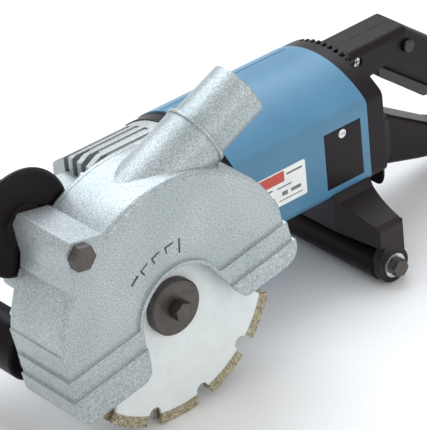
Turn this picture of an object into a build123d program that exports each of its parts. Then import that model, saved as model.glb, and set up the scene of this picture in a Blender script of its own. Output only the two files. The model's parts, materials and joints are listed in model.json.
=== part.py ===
from build123d import *
import os
from math import atan2, cos, hypot, pi, radians, sin, sqrt, tan

# Wall chaser: two diamond blades in a swinging cast case, driven through a bevel gear by a
# series motor that lies across them. Lengths are in millimetres and angles in degrees.
#
# Working axes: X runs along the motor to the rear, Z is up, and "out" (-Y) runs along the
# spindle from the gear centre to the blades. The origin is where the two axes cross; the
# last lines move everything so that the origin is under the middle, on the floor.

# ---- Blades and what clamps them
blade_diameter = 180.0
blade_core = 2.2                # steel disc thickness
segment_thickness = 2.6
segment_height = 8.0
segment_count = 12
segment_arc = 21.5              # angle that one segment covers
segment_phase = -1.0            # angle of the first segment's middle, from +X
gullet_radius = 5.2
gullet_depth = 13.5             # from the rim to the bottom of a gullet
blade_gap = 4.3                 # spacer ring between the two blades
blade_out = 112.0               # outer face of the outer blade, from the motor axis
arbor_radius = 11.1
flange_radius = 20.7
outer_flange = 7.0
inner_flange = 8.3
flange_bolt_flats = 13.0
flange_bolt_head = 9.0
flange_bolt_radius = 4.0

# ---- Bevel gears
gear_module = 1.5
wheel_teeth = 37
pinion_teeth = 10
gear_face = 7.5
tooth_addendum = 0.7            # shares of the module
tooth_dedendum = 1.25
tooth_backlash = 0.2            # share of the tooth thickness that is taken off
tooth_flank = 20.0

# ---- Spindle
spindle_radius = 10.0
spindle_nose_radius = 8.0
spindle_journal_radius = 8.5
spindle_bearing_radius = 20.0
spindle_bearing_width = 12.0
spindle_bearing_out = 40.0
bush_radius = 5.0
bush_wall = 3.0
bush_length = 12.0
running_gap = 0.05              # radial clearance of every journal and hinge
free_gap = 0.6                  # clearance between pieces that pass each other

# ---- Gear housing, bearing box and clamp collar
head_half = 35.0
fin_front, fin_rear = 30.0, 98.0
fin_half_width = 49.0
fin_top = 53.0
fin_bottom = -44.0
fin_count = 6
fin_pitch = 10.0
fin_gap = 5.2
fin_top_depth = 1.6
fin_front_depth = 7.0
fin_front_drop = 21.0
fin_chamfer_run, fin_chamfer_drop = 11.0, 6.0
collar_radius = 27.0
collar_out = 70.0
bearing_flange = 10.0
bearing_flange_half = 29.5

# ---- Motor housing (rounded square) and the ring in front of it
baffle_length = 13.0
baffle_inset = 1.5              # how far the ring stands inside the shell's section
motor_length = 125.0
motor_half_width = 53.5
motor_side_low, motor_side_high = -28.0, 34.0
motor_rise = 21.0               # height of the arc above the flat side
motor_bore = 45.0
parting_line = 26.6             # Y of the mould's raised parting line on top
edge_round = 7.0
cap_length = 16.0
cap_wall = 4.0
vent_count = 10
vent_pitch = 6.4
vent_width = 3.6
vent_depth = 5.5

# ---- Motor inside
armature_radius = 27.0
armature_length = 52.0
armature_slots = 12
air_gap = 1.0
stator_length = 56.0
commutator_radius = 16.0
commutator_length = 18.0
shaft_radius = 6.0
shaft_nose_radius = 3.0
fan_radius = 42.0
fan_blades = 9
brush_x = 211.5
brush_width, brush_height, brush_length = 7.0, 12.0, 17.0

# ---- Side covers and plate
cover_length, cover_height = 35.0, 45.5
cover_middle_z = 0.8
cover_depth = 3.0
plate_front, plate_rear = 122.0, 174.4
plate_low, plate_high = -13.8, 14.2
plate_thickness = 0.7

# ---- Blade case: outline in its own frame, tilted nose-down about the spindle
case_tilt = 10.5
case_radius = 101.0
case_wall = 3.2
case_front, case_rear = -98.0, 97.0
case_inner_out, case_outer_out = 67.0, 124.0
case_blade_gap = 3.5            # between the blade's rim and the lobes
front_lobe_low, rear_lobe_low = -30.0, -22.5
lobe_round = 13.0
skirt_lines = (9.0, -6.5)       # top edges of the two raised steps of the skirt
skirt_step = 2.0
notch_radius = 34.5
notch_front_flare, notch_rear_flare = 7.0, 26.0
notch_round = 9.0
notch_bead = 3.0
notch_bead_height = 2.0
case_screw_angles = (22.0, 44.0, 95.0, 158.0)
case_screw_radius = 2.0
clamp_wall = 7.0
clamp_length = 14.0

# ---- Dust outlet, tangential to the case
outlet_rise = 24.6              # above the motor axis
outlet_distance = 75.3          # from the spindle axis to the outlet's own axis
stem_radius = 23.4
stem_length = 88.5
outlet_foot = 6.0               # where the stem's bore begins, inside the case
nozzle_radius = 21.5
nozzle_bore = 18.8
nozzle_length = 43.0
nozzle_socket = 8.0             # how far the tube is let into the stem
nozzle_step = 0.5               # the tube is this much thinner in its socket
stem_bore = 18.0

# ---- Side grip
grip_x, grip_z = -78.0, 80.0
grip_bolt_radius = 5.0
grip_bolt_flats = 17.0
grip_bolt_head = 6.5
guard_radius = 39.0
guard_thickness = 5.0
grip_radius = 19.0
grip_length = 122.0

# ---- Rollers
front_roller_x, front_roller_z = -83.0, -10.0      # in the case's own frame
front_roller_radius = 19.8
front_roller_length = 100.0
roller_axle_radius = 6.0
rear_roller_x = 214.0
rear_roller_radius = 14.6
rear_roller_near, rear_roller_far = 89.0, -60.0    # out
bracket_plate = 7.0
bracket_front, bracket_rear = 198.0, 234.0

# ---- D-handle, an outline in the X-Z plane
handle_half_width = 18.0
handle_wall = 3.5
grip_slope = 38.4
trigger_travel = 7.0            # degrees
trigger_width = 20.0
trigger_knuckle = 5.5
trigger_pin_radius = 2.5
handle_screw_radius = 2.0
handle_screw_head = 3.6
button_travel = 3.0
button_radius = 5.0
button_collar = 6.5
cord_bore = 4.5
cord_inlet_radius = 9.0
cord_inlet_front, cord_inlet_rear = 374.0, 396.0
cord_inlet_z = -46.0

# ---- Places that follow
blade_radius = blade_diameter / 2
floor_z = -blade_radius
motor_front = fin_rear + baffle_length
motor_rear = motor_front + motor_length
cap_rear = motor_rear + cap_length
rear_roller_z = floor_z + rear_roller_radius
outer_blade_in = blade_out - blade_core
spacer_in = outer_blade_in - blade_gap
inner_blade_in = spacer_in - blade_core
inner_flange_in = inner_blade_in - inner_flange
wheel_pitch = gear_module * wheel_teeth / 2
pinion_pitch = gear_module * pinion_teeth / 2
core_front = motor_front + 23.0
core_rear = core_front + armature_length
commutator_front = brush_x - commutator_length / 2


# ---- Helpers -------------------------------------------------------------------------
def box(x, y, z):
    """A box between two values on each axis."""
    size = [high - low for low, high in (x, y, z)]
    return Pos(*[(low + high) / 2 for low, high in (x, y, z)]) * Box(*size)


def along_out(sketch, start, end):
    """A sketch in (X, Z) pulled from one distance out to another."""
    return extrude(Plane.XZ.offset(start) * sketch, end - start)


def along_x(sketch, start, end):
    """A sketch in (Y, Z) pulled along X."""
    return extrude(Plane.YZ.offset(start) * sketch, end - start)


def rod_out(x, z, radius, start, end):
    return along_out(Pos(x, z) * Circle(radius), start, end)


def rod_x(y, z, radius, start, end):
    return along_x(Pos(y, z) * Circle(radius), start, end)


def polygon(points):
    return make_face(Polyline(*points, close=True))


def turned_out(profile):
    """A turned piece about the spindle axis from (radius, out) points."""
    face = make_face(Plane.XY * Polyline(*[(r, -out) for r, out in profile], close=True))
    return revolve(face, Axis.Y)


def turned_x(profile):
    """A turned piece about the motor axis from (radius, x) points."""
    face = make_face(Plane.XY * Polyline(*[(x, r) for r, x in profile], close=True))
    return revolve(face, Axis.X)


def ring_out(inner, outer, start, end):
    return turned_out([(inner, start), (outer, start), (outer, end), (inner, end)])


def hexagon(flats):
    return RegularPolygon(flats / sqrt(3), 6)


def many(solids):
    """Separate solids kept in one node."""
    return Compound(children=[s for piece in solids for s in piece.solids()])


def body_section(half_width, low, high, rise, inset=0.0):
    """The motor's section in (Y, Z): flat sides, with an arc over the top and one below."""
    side = half_width - inset
    top, bottom = high + rise - inset, low - rise + inset
    edge = [
        Line((-side, low), (-side, high)),
        ThreePointArc((-side, high), (0, top), (side, high)),
        Line((side, high), (side, low)),
        ThreePointArc((side, low), (0, bottom), (-side, low)),
    ]
    face = make_face(edge)
    return fillet(face.vertices(), edge_round)


def motor_section(inset=0.0):
    return body_section(motor_half_width, motor_side_low, motor_side_high, motor_rise, inset)


# ---- Bevel gears ---------------------------------------------------------------------
def bevel_gear(teeth, pitch_radius, apex_height, bore, back, hub_radius, turn):
    """A bevel gear about +Z with its apex at the origin. Flanks are straight, and every line
    of a tooth runs to the apex."""
    slant = hypot(pitch_radius, apex_height)
    cone = atan2(pitch_radius, apex_height)
    dedendum = tooth_dedendum * gear_module
    addendum = tooth_addendum * gear_module
    half = gear_module * pi / 4 * (1 - tooth_backlash)
    lean = tan(radians(tooth_flank))
    sunk = 0.25 * gear_module

    def place(share, height, across):
        along = slant * share
        return (
            along * sin(cone) + height * share * cos(cone),
            across * share,
            along * cos(cone) - height * share * sin(cone),
        )

    inner_share = 1 - gear_face / slant
    corners = (
        (-dedendum - sunk, -half - (dedendum + sunk) * lean),
        (-dedendum - sunk, half + (dedendum + sunk) * lean),
        (addendum, half - addendum * lean),
        (addendum, -half + addendum * lean),
    )
    ends = [
        make_face(Polyline(*[place(share, h, t) for h, t in corners], close=True))
        for share in (1.0, inner_share)
    ]
    tooth = loft(ends, ruled=True)
    root_outer, _, z_outer = place(1.0, -dedendum, 0)
    root_inner, _, z_inner = place(inner_share, -dedendum, 0)
    blank = [(bore, z_inner), (root_inner, z_inner), (root_outer, z_outer)]
    if root_outer > hub_radius:
        blank += [(root_outer - 1.0, z_outer + 3.0), (hub_radius, z_outer + 3.0)]
    blank += [(hub_radius, back), (bore, back)]
    gear = revolve(make_face(Plane.XZ * Polyline(*blank, close=True)), Axis.Z)
    step = 360 / teeth
    return gear + [Rot(0, 0, turn + k * step) * tooth for k in range(teeth)]


def bevel_wheel():
    wheel = bevel_gear(wheel_teeth, wheel_pitch, pinion_pitch, spindle_nose_radius, 22.0, 15.0, 0)
    return Rot(90, 0, 0) * wheel


def pinion():
    gear = bevel_gear(
        pinion_teeth, pinion_pitch, wheel_pitch, shaft_nose_radius, 36.0, 6.5,
        180 + 180 / pinion_teeth)
    return Rot(0, 90, 0) * Rot(0, 0, 90) * gear


# ---- Spindle body ----------------------------------------------------------------------
def spindle():
    end = blade_out - 2.0
    shaft = turned_out([
        (0, -24.0), (bush_radius, -24.0), (bush_radius, -8.0), (6.0, -8.0), (6.0, 8.0),
        (spindle_nose_radius, 8.0), (spindle_nose_radius, 28.0), (spindle_journal_radius, 28.0),
        (spindle_journal_radius, spindle_bearing_out + spindle_bearing_width),
        (spindle_radius, spindle_bearing_out + spindle_bearing_width),
        (spindle_radius, inner_flange_in - 7.0), (spindle_nose_radius, inner_flange_in - 7.0),
        (spindle_nose_radius, end), (0, end)])
    return shaft - rod_out(0, 0, flange_bolt_radius, end - 26.0, end)


def inner_flange_piece():
    return turned_out([
        (spindle_nose_radius, inner_flange_in - 7.0), (13.0, inner_flange_in - 7.0),
        (13.0, inner_flange_in), (flange_radius, inner_flange_in),
        (flange_radius, inner_blade_in), (arbor_radius, inner_blade_in),
        (arbor_radius, blade_out - 1.0), (spindle_nose_radius, blade_out - 1.0)])


def blade_gullet(angle):
    """The space between two segments: a wedge from the rim that ends in a round hole."""
    depth = blade_radius - gullet_depth + gullet_radius
    half = (360 / segment_count - segment_arc) / 2
    reach = blade_radius + 2.0
    mouth = [reach * sin(radians(half)) * s for s in (-1, 1)]
    wedge = polygon([
        (depth, -gullet_radius), (reach, mouth[0]), (reach, mouth[1]), (depth, gullet_radius)])
    return Rot(0, 0, angle) * (wedge + Pos(depth, 0) * Circle(gullet_radius))


def blade_core_piece(inside):
    pitch = 360 / segment_count
    disc = Circle(blade_radius - segment_height) - Circle(arbor_radius + running_gap)
    for k in range(segment_count):
        disc -= blade_gullet(segment_phase + (k + 0.5) * pitch)
    return along_out(disc, inside, inside + blade_core)


def blade_segments(inside):
    pitch = 360 / segment_count
    proud = (segment_thickness - blade_core) / 2
    rim = Circle(blade_radius) - Circle(blade_radius - segment_height)
    reach = 2 * blade_radius
    half = radians(segment_arc / 2)
    sector = polygon([(0, 0), (reach, -reach * tan(half)), (reach, reach * tan(half))])
    solids = [
        along_out(rim & Rot(0, 0, segment_phase + k * pitch) * sector, inside - proud,
                  inside + blade_core + proud)
        for k in range(segment_count)
    ]
    return many(solids)


def spacer_ring():
    return ring_out(arbor_radius + running_gap, flange_radius, spacer_in, outer_blade_in)


def outer_flange_piece():
    flange = turned_out([
        (flange_bolt_radius, blade_out), (flange_radius, blade_out),
        (flange_radius, blade_out + outer_flange - 1.2),
        (flange_radius - 1.2, blade_out + outer_flange),
        (flange_bolt_radius, blade_out + outer_flange)])
    return flange


def hex_bolt(flats, head, radius, length):
    """A hex bolt along out: its head stands out from zero, its shank reaches inward."""
    blank = along_out(hexagon(flats), 0.6, head)
    dome = turned_out([(0, 0.6), (flats, 0.6), (flats, head - 1.8), (flats / 2 - 0.6, head), (0, head)])
    washer_face = rod_out(0, 0, flats / 2 - 0.3, 0, 0.6)
    return (blank & dome) + washer_face + rod_out(0, 0, radius, -length, 0)


def flange_bolt():
    face = blade_out + outer_flange
    bolt = hex_bolt(flange_bolt_flats, flange_bolt_head, flange_bolt_radius, 26.0)
    return Pos(0, -face, 0) * Rot(0, 24, 0) * bolt


# ---- Armature body ------------------------------------------------------------------------
def armature_shaft():
    return turned_x([
        (0, 19.0), (shaft_nose_radius, 19.0), (shaft_nose_radius, 36.0), (shaft_radius, 36.0),
        (shaft_radius, motor_rear + 8.5), (0, motor_rear + 8.5)])


def armature_core():
    lamination = Circle(armature_radius) - Circle(shaft_radius)
    for k in range(armature_slots):
        slot = Pos(armature_radius - 4.0, 0) * Rectangle(9.0, 1.8)
        slot += Pos(armature_radius - 7.5, 0) * Circle(2.6)
        lamination -= Rot(0, 0, k * 360 / armature_slots) * slot
    return along_x(lamination, core_front, core_rear)


def coil_ends():
    ends = []
    for start, end in ((core_front - 10.0, core_front), (core_rear, core_rear + 7.0)):
        face = make_face(Plane.XY * Polyline(
            (start + 2.0, shaft_radius + 1.0), (end, shaft_radius + 1.0),
            (end, armature_radius - 4.0), (start + 3.0, armature_radius - 6.0),
            (start, armature_radius - 9.0), close=True))
        ends.append(revolve(face, Axis.X))
    return many(ends)


def commutator():
    end = commutator_front + commutator_length
    drum = turned_x([
        (shaft_radius, commutator_front), (commutator_radius, commutator_front),
        (commutator_radius, end), (shaft_radius, end)])
    cuts = [
        Rot(k * 15, 0, 0) * box((commutator_front, end), (commutator_radius - 0.8, commutator_radius + 1),
                                (-0.4, 0.4))
        for k in range(24)
    ]
    return drum - cuts


def cooling_fan():
    back = motor_front - 2.0
    disc = turned_x([
        (shaft_radius, back - 13.0), (12.0, back - 13.0), (14.0, back - 2.5),
        (fan_radius, back - 2.5), (fan_radius, back), (shaft_radius, back)])
    vanes = [
        Rot(k * 360 / fan_blades, 0, 0)
        * box((back - 12.0, back - 2.0), (20.0, fan_radius - 1.0), (-1.0, 1.0))
        for k in range(fan_blades)
    ]
    return disc + vanes


# ---- Static body: gear end ------------------------------------------------------------------
def fin_block():
    """The finned block between the gear head and the motor, with its cooling slots."""
    section = body_section(
        fin_half_width, fin_bottom + 18.0, fin_top - 18.0, 18.0)
    block = along_x(section, fin_front, fin_rear)
    top_edge = polygon([
        (fin_front - 1, fin_top - fin_chamfer_drop - 0.5), (fin_front - 1, fin_top + 5),
        (fin_front + fin_chamfer_run + 2.0, fin_top + 5), (fin_front + fin_chamfer_run, fin_top),
        (fin_front, fin_top - fin_chamfer_drop)])
    block -= along_out(top_edge, -60.0, 60.0)
    for k in range(fin_count):
        y = 32.0 - k * fin_pitch
        side = (y - fin_gap / 2, y + fin_gap / 2)
        # The top of the block is an arc, so each shallow groove follows its own height.
        crown = fin_top - 18.0 * (y / fin_half_width) ** 2
        block -= box((fin_front - 1, fin_rear - 10.0), side, (crown - fin_top_depth, fin_top + 6))
        low = crown - fin_chamfer_drop - fin_front_drop
        block -= box((fin_front - 1, fin_front + fin_front_depth), side, (low, fin_top + 6))
        slant = polygon([
            (fin_front + fin_front_depth - 0.1, fin_top + 6), (fin_front + fin_front_depth - 0.1, crown - 12.0),
            (fin_front + fin_chamfer_run + 5.0, crown - fin_top_depth),
            (fin_front + fin_chamfer_run + 5.0, fin_top + 6)])
        block -= along_out(slant, -side[1], -side[0])
    return block


def gear_housing():
    head = box((-head_half, fin_front + 8), (-36.0, 33.0), (-head_half, head_half))
    head = fillet(head.edges().filter_by(Axis.Y), 12.0)
    housing = head + fin_block()
    room = rod_out(0, 0, wheel_pitch + 3.2, -9.0, 36.0)
    room += rod_x(0, 0, 10.5, 0, 44.0)
    housing -= room
    housing -= rod_out(0, 0, bush_radius + bush_wall, -26.0, -8.0)
    housing -= rod_x(0, 0, 16.0, 44.0, 60.0)
    housing -= rod_x(0, 0, shaft_radius + 2.0, 59.0, 70.0)
    return housing - rod_x(0, 0, fan_radius + 1.5, 70.0, fin_rear)


def bearing_box():
    """The collar round the spindle: its flange screws to the gear head, the case turns on it."""
    flange_front = 36.0
    square = Rectangle(2 * bearing_flange_half, 2 * bearing_flange_half)
    square = fillet(square.vertices(), 8.0)
    piece = along_out(square, flange_front, flange_front + bearing_flange)
    piece += rod_out(0, 0, collar_radius, flange_front, collar_out)
    piece -= rod_out(0, 0, spindle_bearing_radius, flange_front, spindle_bearing_out + spindle_bearing_width)
    piece -= rod_out(0, 0, spindle_radius + 1.0, flange_front, collar_out)
    for x, z in bearing_box_corners():
        piece -= rod_out(x, z, 2.6, flange_front, flange_front + bearing_flange)
    return piece


def bearing_box_corners():
    reach = bearing_flange_half - 6.0
    return [(sx * reach, sz * reach) for sx in (-1, 1) for sz in (-1, 1)]


def cap_screw(radius, head_radius, head, length):
    """A cap screw along out: head from zero outward, with a hex socket, shank inward."""
    screw = rod_out(0, 0, head_radius, 0, head) - along_out(hexagon(radius * 1.6), head * 0.45, head)
    return screw + rod_out(0, 0, radius, -length, 0)


def bearing_box_screws():
    face = 36.0 + bearing_flange
    return many([
        Pos(x, -face, z) * cap_screw(2.5, 4.2, 5.0, bearing_flange - 0.5)
        for x, z in bearing_box_corners()
    ])


def ball_bearing(inner, outer, width):
    """Two rings and their balls' race, as one plain unit about +Z from zero."""
    face = make_face(Plane.XZ * Polyline(
        (inner, 0), (inner + 3.0, 0), (inner + 3.0, 1.0), (outer - 3.0, 1.0), (outer - 3.0, 0),
        (outer, 0), (outer, width), (outer - 3.0, width), (outer - 3.0, width - 1.0),
        (inner + 3.0, width - 1.0), (inner + 3.0, width), (inner, width), close=True))
    return revolve(face, Axis.Z)


def spindle_bearing():
    unit = ball_bearing(
        spindle_journal_radius + running_gap, spindle_bearing_radius, spindle_bearing_width)
    return Pos(0, -spindle_bearing_out, 0) * Rot(90, 0, 0) * unit


def spindle_bush():
    return ring_out(bush_radius + running_gap, bush_radius + bush_wall, -9.0 - bush_length, -9.0)


def armature_bearings():
    front = Pos(48.0, 0, 0) * Rot(0, 90, 0) * ball_bearing(shaft_radius + running_gap, 16.0, 10.0)
    rear = Pos(motor_rear - 2.0, 0, 0) * Rot(0, 90, 0) * ball_bearing(
        shaft_radius + running_gap, 13.0, 8.0)
    return many([front, rear])


def fan_baffle():
    return along_x(motor_section(baffle_inset) - Circle(fan_radius + 1.5), fin_rear, motor_front)


# ---- Static body: motor -----------------------------------------------------------------------
def motor_housing():
    shell = along_x(motor_section(), motor_front, motor_rear)
    shell -= rod_x(0, 0, motor_bore, motor_front, motor_rear)
    low, high = cover_middle_z - cover_height / 2, cover_middle_z + cover_height / 2
    reach = (brush_x - cover_length / 2, brush_x + cover_length / 2)
    for side in (-1, 1):
        seat = sorted((side * (motor_half_width - cover_depth), side * (motor_half_width + 1)))
        shell -= box(reach, seat, (low, high))
        slot = sorted((side * 30.0, side * motor_half_width))
        shell -= box((brush_x - 8, brush_x + 8), slot, (-12.0, 12.0))
        shell -= rod_out(brush_x, high - 5.5, 1.6, *sorted((side * 46.0, side * motor_half_width)))
    # A raised line along the top marks the mould's parting.
    arc = motor_side_high + motor_rise * (1 - (parting_line / motor_half_width) ** 2)
    across = (parting_line - 0.6, parting_line + 0.6)
    shell += box((motor_front + 2, motor_rear - 6), across, (arc - 6.0, arc + 1.0))
    return shell


def stator_core():
    ring = Circle(motor_bore) - Circle(armature_radius + air_gap)
    window = Rectangle(2 * (armature_radius + 11.0), 30.0)
    inner = Circle(armature_radius + 11.0) & window
    return along_x(ring - inner, core_front - 2.0, core_front - 2.0 + stator_length)


def field_windings():
    """Two coils that fill the windows on either side and stand out at both ends."""
    start, end = core_front - 9.0, core_front + stator_length + 5.0
    ring = Circle(armature_radius + 10.6) - Circle(armature_radius + air_gap + 0.4)
    solids = []
    for side in (-1, 1):
        window = Pos(side * (armature_radius + 6), 0) * Rectangle(20.0, 28.6)
        solids.append(along_x(ring & window, start, end))
    return many(solids)


def brush_holders():
    holders = []
    for side in (-1, 1):
        y = sorted((side * (commutator_radius + 3.0), side * 44.0))
        wide, tall = brush_width / 2 + 2, brush_height / 2 + 2
        holder = box((brush_x - wide, brush_x + wide), y, (-tall, tall))
        hole = (brush_x - brush_width / 2, brush_x + brush_width / 2)
        holder -= box(hole, y, (-brush_height / 2, brush_height / 2))
        holders.append(holder)
    return many(holders)


def carbon_brushes():
    inner = commutator_radius + 0.3
    solids = []
    for side in (-1, 1):
        y = sorted((side * inner, side * (inner + brush_length)))
        solids.append(box((brush_x - brush_width / 2, brush_x + brush_width / 2), y,
                          (-brush_height / 2, brush_height / 2)))
    return many(solids)


def brush_cover(side):
    low, high = cover_middle_z - cover_height / 2, cover_middle_z + cover_height / 2
    reach = (brush_x - cover_length / 2, brush_x + cover_length / 2)
    y = sorted((side * (motor_half_width - cover_depth), side * motor_half_width))
    plate = box(reach, y, (low, high))
    out = [-v for v in y][::-1]
    plate -= rod_out(brush_x, high - 5.5, 1.6, *out)
    outer = (out[1] - 1.6, out[1]) if side < 0 else (out[0], out[0] + 1.6)
    return plate - rod_out(brush_x, high - 5.5, 3.6, *outer)


def brush_cover_screws():
    high = cover_middle_z + cover_height / 2
    screws = []
    for side in (-1, 1):
        turn = Rot(0, 0, 0) if side < 0 else Rot(0, 0, 180)
        head = rod_out(0, 0, 3.5, 0, 1.5) - box((-2.6, 2.6), (-2, -0.9), (-0.5, 0.5))
        screw = head + rod_out(0, 0, 1.6, -4.5, 0)
        screws.append(Pos(brush_x, side * (motor_half_width - 1.6), high - 5.5) * turn * screw)
    return many(screws)


def rating_plate():
    face = fillet(Rectangle(plate_rear - plate_front, plate_high - plate_low).vertices(), 1.5)
    middle = Pos((plate_front + plate_rear) / 2, (plate_low + plate_high) / 2)
    return along_out(middle * face, motor_half_width, motor_half_width + plate_thickness)


def vent_angles():
    """Angles about the motor axis at which the comb's slots stand, from +Y."""
    span = vent_pitch / (motor_side_high + motor_rise) * 180 / pi
    first = 90 - span * (vent_count - 1) / 2
    return [first + k * span for k in range(vent_count)]


def rear_cap():
    cup = along_x(motor_section(0.6), motor_rear, cap_rear)
    cup -= along_x(motor_section(cap_wall), motor_rear + 6.0, cap_rear - cap_wall)
    cup -= rod_x(0, 0, 13.0, motor_rear, motor_rear + 6.0)
    for angle in vent_angles():
        slot = box((cap_rear - vent_depth, cap_rear + 1), (40.0, 80.0), (-vent_width / 2, vent_width / 2))
        cup -= Rot(angle, 0, 0) * slot
    return cup


# ---- Static body: D-handle ------------------------------------------------------------------------
def handle_top(x):
    """Height of the grip's upper line at x, behind its bend."""
    return 51.5 - (x - 310.0) * tan(radians(grip_slope))


def handle_outline():
    outer = polygon([
        (cap_rear, 51.0), (310.0, 51.5), (385.0, handle_top(385.0)), (391.0, -30.0), (388.0, -70.0),
        (374.0, -79.0), (315.0, -64.0), (281.0, -54.0), (cap_rear, -50.0)])
    outer = fillet(outer.vertices().sort_by(Axis.X)[-5:], 12.0)
    return outer - handle_opening()


def handle_opening():
    hole = polygon([
        (268.0, 22.0), (286.0, 26.0), (352.0, -26.0), (366.0, -44.0), (360.0, -56.0),
        (345.0, -49.0), (290.0, -15.0), (268.0, -7.0)])
    return fillet(hole.vertices(), 4.0)


def handle_root():
    """The shoulder that sweeps from the rear cap's full width into the lower arm."""
    sections = [(0.0, 96.0, -47.0, 33.0), (9.0, 78.0, -49.0, 17.0), (20.0, 54.0, -51.0, 2.0),
                (34.0, 2 * handle_half_width, -53.0, -9.0)]
    faces = [
        Plane.YZ.offset(cap_rear + back) * Pos(0, (low + high) / 2)
        * RectangleRounded(width, high - low, 9.0)
        for back, width, low, high in sections
    ]
    root = loft(faces)
    return root - along_out(handle_opening(), -60.0, 60.0)


def handle_half(side):
    """One half of the D-handle, split on the motor's mid-plane, hollow where the switch sits."""
    inner, outer = (0.0, 60.0) if side < 0 else (-60.0, 0.0)
    out = (0.0, handle_half_width) if side < 0 else (-handle_half_width, 0.0)
    half = along_out(handle_outline(), *out)
    skin = half.faces().sort_by(Axis.Y)[0 if side < 0 else -1]
    half = fillet(skin.edges(), 6.0)
    keep = box((cap_rear - 5, 500.0), (-outer, -inner), (-200.0, 200.0))
    half += handle_root() & keep
    half -= handle_room()
    half -= rod_x(0, cord_inlet_z, cord_inlet_radius, cord_inlet_front, 500.0)
    for x, z in handle_screw_places():
        half -= rod_out(x, z, handle_screw_radius, -12.0, 60.0)
        half -= rod_out(x, z, handle_screw_head + 0.4, handle_half_width - 4.0, 60.0)
    x, z = lock_button_place()
    return half - rod_out(x, z, button_radius + running_gap, 10.0, 60.0)


def grip_point(along, down):
    """A point from the bend of the grip's upper line: along the grip, and square below it."""
    slope = radians(grip_slope)
    return (
        310.0 + along * cos(slope) - down * sin(slope),
        51.5 - along * sin(slope) - down * cos(slope),
    )


def trigger_pivot():
    return grip_point(-6.8, 28.4)


def handle_room():
    """Room in the grip for the switch, and the mouth that the trigger moves in."""
    near = handle_half_width - handle_wall
    room = polygon([grip_point(*p) for p in ((0, 5), (64, 5), (64, 20), (0, 20))])
    mouth = polygon([grip_point(*p) for p in (
        (-7, 22), (0, 12), (69, 12), (69, 40), (-1, 40), (-7, 34.5))])
    mouth += Pos(*trigger_pivot()) * Circle(trigger_knuckle + free_gap)
    half = trigger_width / 2 + free_gap
    cut = along_out(room, -near, near) + along_out(mouth, -half, half)
    return cut + rod_out(*trigger_pivot(), trigger_pin_radius, -near, near)


def handle_screw_places():
    return [(261.0, 42.0), (261.0, -38.0), (328.0, -56.0), (374.0, -66.0), (376.0, -12.0)]


def handle_screws():
    """Long screws from the near side that draw the two halves together."""
    head = rod_out(0, 0, handle_screw_head, 0, 2.6)
    head -= box((-2.6, 2.6), (-4, -1.6), (-0.5, 0.5)) + box((-0.5, 0.5), (-4, -1.6), (-2.6, 2.6))
    screw = head + rod_out(0, 0, handle_screw_radius, -25.0, 0)
    return many([Pos(x, 4.0 - handle_half_width, z) * screw for x, z in handle_screw_places()])


# ---- Blade case ---------------------------------------------------------------------------------
def tilt(piece):
    """From the case's own frame to the working axes."""
    return Rot(0, -case_tilt, 0) * piece


def case_outline(proud=0.0, top=None):
    """The case's side outline in its own (X, Z), or the part of it below a line."""
    front, rear = case_front - proud, case_rear + proud
    radius = case_radius + proud
    slab = Pos((front + rear) / 2, 0) * Rectangle(rear - front, 4 * radius)
    upper = Circle(radius) & slab & (Pos(0, radius) * Rectangle(4 * radius, 2 * radius))
    start = sqrt(radius**2 - max(-front, rear) ** 2) if radius > max(-front, rear) else 0.0
    lower = polygon([
        (front, start + 4.0), (front, front_lobe_low), (0, front_lobe_low), (0, rear_lobe_low),
        (rear, rear_lobe_low), (rear, start + 4.0)])
    corners = [v for v in lower.vertices() if abs(v.X) > 50 and v.Y < 0]
    shape = upper + fillet(corners, lobe_round)
    if top is not None:
        shape &= Pos(0, top - 2 * radius) * Rectangle(4 * radius, 4 * radius)
    return shape


def case_boss():
    """Outline of the block at the upper front that holds the side grip's bolt."""
    return polygon([
        (-76.0, 66.0), (-72.0, 76.5), (-71.8, 89.0), (-71.2, 100.0), (-65.4, 105.4),
        (-40.9, 95.8), (-30.0, 70.0)])


def case_cavity():
    """Room for the blades: the outline less the wall, and near the rim only between the lobes."""
    inner = case_radius - case_wall
    slab = Pos((case_front + case_rear) / 2, 0) * Rectangle(
        case_rear - case_front - 2 * case_wall, 4 * inner)
    upper = Circle(inner) & slab & (Pos(0, inner - 8.0) * Rectangle(4 * inner, 2 * inner))
    return upper + Circle(blade_radius + case_blade_gap)


def notch(grow=0.0):
    """The opening round the flange, flared towards the floor."""
    radius = notch_radius + grow
    low = front_lobe_low - 12.0

    def side(sign, flare):
        lean = radians(flare)
        start = (sign * radius * cos(lean), radius * sin(lean))
        return start, (start[0] + sign * tan(lean) * (start[1] - low), low)

    front_top, front_low = side(-1, notch_front_flare)
    rear_top, rear_low = side(1, notch_rear_flare)
    return Circle(radius) + polygon([front_top, front_low, rear_low, rear_top])


def notch_cut():
    """What the notch takes from the outer wall, with the lobes' lower corners left round."""
    whole = case_outline(len(skirt_lines) * skirt_step)
    wall = whole - notch()
    corners = [
        v for v in wall.vertices()
        if v.Y < rear_lobe_low + 1 and notch_radius / 2 < abs(v.X) < 2 * notch_radius
    ]
    return whole - fillet(corners, notch_round)


def outlet_frame():
    """Plane across the dust outlet at its foot, in the working axes: Z runs along the outlet."""
    rise = radians(outlet_rise)
    foot = (-outlet_distance * sin(rise), 0, outlet_distance * cos(rise))
    middle = (case_inner_out + case_outer_out) / 2
    return Plane(origin=(foot[0], -middle, foot[2]), x_dir=(0, 1, 0), z_dir=(cos(rise), 0, sin(rise)))


def outlet_solid(radius, start, end):
    return extrude(outlet_frame().offset(start) * Circle(radius), end - start)


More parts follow.
